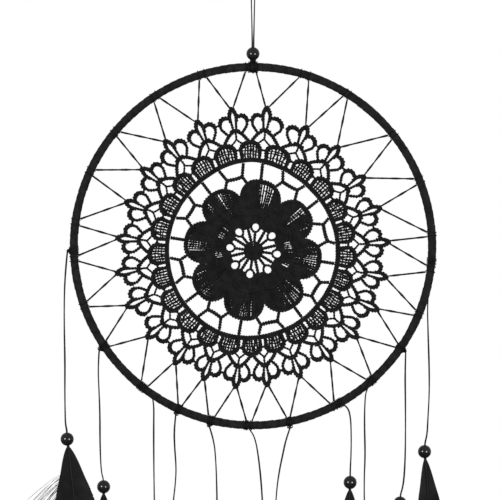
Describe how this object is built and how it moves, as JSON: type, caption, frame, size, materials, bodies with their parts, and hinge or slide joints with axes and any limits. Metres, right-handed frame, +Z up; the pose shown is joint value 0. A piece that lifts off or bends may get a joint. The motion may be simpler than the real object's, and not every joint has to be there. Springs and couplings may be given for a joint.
{
  "type": "dream catcher",
  "caption": "Wall hanging of a wrapped hoop with a crocheted mandala laced inside it, and cords that carry beads and feathers below.",
  "frame": {"origin": "inside the top of the hanging loop, where the nail bears", "axes": "+Z up along the hanging loop, +X to the right across the hoop, +Y to the back, so the front faces -Y"},
  "size_m": [0.2436, 0.0164, 0.5406],
  "materials": {
    "steel": "drawn wire",
    "suede": "matte suede ribbon",
    "crochet_cotton": "matte twisted cotton",
    "waxed_thread": "flat waxed thread",
    "waxed_cord": "flat waxed cord, slightly glossy",
    "bead_wood": "glossy black lacquer",
    "feather_black": "dyed feather with a soft sheen"
  },
  "bodies": {
    "hanger": {"hanging_loop": "waxed_cord"},
    "lashing": {"hanging_bead": "bead_wood", "hanger_knot": "waxed_cord"},
    "hoop": {"hoop_wire": "steel", "hoop_wrap": "suede", "lace_doily": "crochet_cotton", "lacing_thread": "waxed_thread", "tail_knot_1": "waxed_thread", "tail_knot_2": "waxed_thread", "tail_knot_3": "waxed_thread", "tail_knot_4": "waxed_thread", "tail_knot_5": "waxed_thread", "tail_knot_6": "waxed_thread", "tail_knot_7": "waxed_thread", "tail_knot_8": "waxed_thread", "tail_knot_9": "waxed_thread", "tail_knot_10": "waxed_thread", "tail_knot_11": "waxed_thread"},
    "tail_1": {"tail_cord_1": "waxed_cord", "tail_bead_1": "bead_wood", "feather_1": "feather_black"},
    "tail_2": {"tail_cord_2": "waxed_cord", "tail_bead_2": "bead_wood", "feather_2": "feather_black"},
    "tail_3": {"tail_cord_3": "waxed_cord", "tail_bead_3": "bead_wood", "feather_3": "feather_black"},
    "tail_4": {"tail_cord_4": "waxed_cord", "tail_bead_4": "bead_wood", "feather_4": "feather_black"},
    "tail_5": {"tail_cord_5": "waxed_cord", "tail_bead_5": "bead_wood", "feather_5": "feather_black"},
    "tail_6": {"tail_cord_6": "waxed_cord", "tail_bead_6": "bead_wood", "feather_6": "feather_black"},
    "tail_7": {"tail_cord_7": "waxed_cord", "tail_bead_7": "bead_wood", "feather_7": "feather_black"},
    "tail_8": {"tail_cord_8": "waxed_cord", "tail_bead_8": "bead_wood", "feather_8": "feather_black"},
    "tail_9": {"tail_cord_9": "waxed_cord", "tail_bead_9": "bead_wood", "feather_9": "feather_black"},
    "tail_10": {"tail_cord_10": "waxed_cord", "tail_bead_10": "bead_wood", "feather_10": "feather_black"},
    "tail_11": {"tail_cord_11": "waxed_cord", "tail_bead_11": "bead_wood", "feather_11": "feather_black"}
  },
  "joints": [
    {"name": "hoop_twist", "type": "hinge", "parent": "hanger", "child": "lashing", "pos_m": [0, 0, -0.0612], "axis": [0, 0, 1], "range_deg": [-180, 180]},
    {"name": "hoop_swing", "type": "hinge", "parent": "lashing", "child": "hoop", "pos_m": [0, 0, -0.07295], "axis": [1, 0, 0], "range_deg": [-30, 30]},
    {"name": "tail_swing_1", "type": "hinge", "parent": "hoop", "child": "tail_1", "pos_m": [-0.11115, -0.00213, -0.18317], "axis": [1, 0, 0], "range_deg": [-35, 0]},
    {"name": "tail_swing_2", "type": "hinge", "parent": "hoop", "child": "tail_2", "pos_m": [-0.09234, 0.00213, -0.24238], "axis": [1, 0, 0], "range_deg": [0, 35]},
    {"name": "tail_swing_3", "type": "hinge", "parent": "hoop", "child": "tail_3", "pos_m": [-0.06655, 0.00425, -0.26487], "axis": [1, 0, 0], "range_deg": [0, 35]},
    {"name": "tail_swing_4", "type": "hinge", "parent": "hoop", "child": "tail_4", "pos_m": [-0.04628, -0.00213, -0.28154], "axis": [1, 0, 0], "range_deg": [-35, 0]},
    {"name": "tail_swing_5", "type": "hinge", "parent": "hoop", "child": "tail_5", "pos_m": [-0.02633, 0.00213, -0.28847], "axis": [1, 0, 0], "range_deg": [0, 35]},
    {"name": "tail_swing_6", "type": "hinge", "parent": "hoop", "child": "tail_6", "pos_m": [-0.00431, -0.00425, -0.28786], "axis": [1, 0, 0], "range_deg": [-35, 0]},
    {"name": "tail_swing_7", "type": "hinge", "parent": "hoop", "child": "tail_7", "pos_m": [0.02236, 0.00213, -0.28936], "axis": [1, 0, 0], "range_deg": [0, 35]},
    {"name": "tail_swing_8", "type": "hinge", "parent": "hoop", "child": "tail_8", "pos_m": [0.05195, 0.00425, -0.27456], "axis": [1, 0, 0], "range_deg": [0, 35]},
    {"name": "tail_swing_9", "type": "hinge", "parent": "hoop", "child": "tail_9", "pos_m": [0.07109, -0.00425, -0.26109], "axis": [1, 0, 0], "range_deg": [-35, 0]},
    {"name": "tail_swing_10", "type": "hinge", "parent": "hoop", "child": "tail_10", "pos_m": [0.09152, -0.00213, -0.24358], "axis": [1, 0, 0], "range_deg": [-35, 0]},
    {"name": "tail_swing_11", "type": "hinge", "parent": "hoop", "child": "tail_11", "pos_m": [0.10711, 0.00425, -0.18963], "axis": [1, 0, 0], "range_deg": [0, 35]}
  ]
}
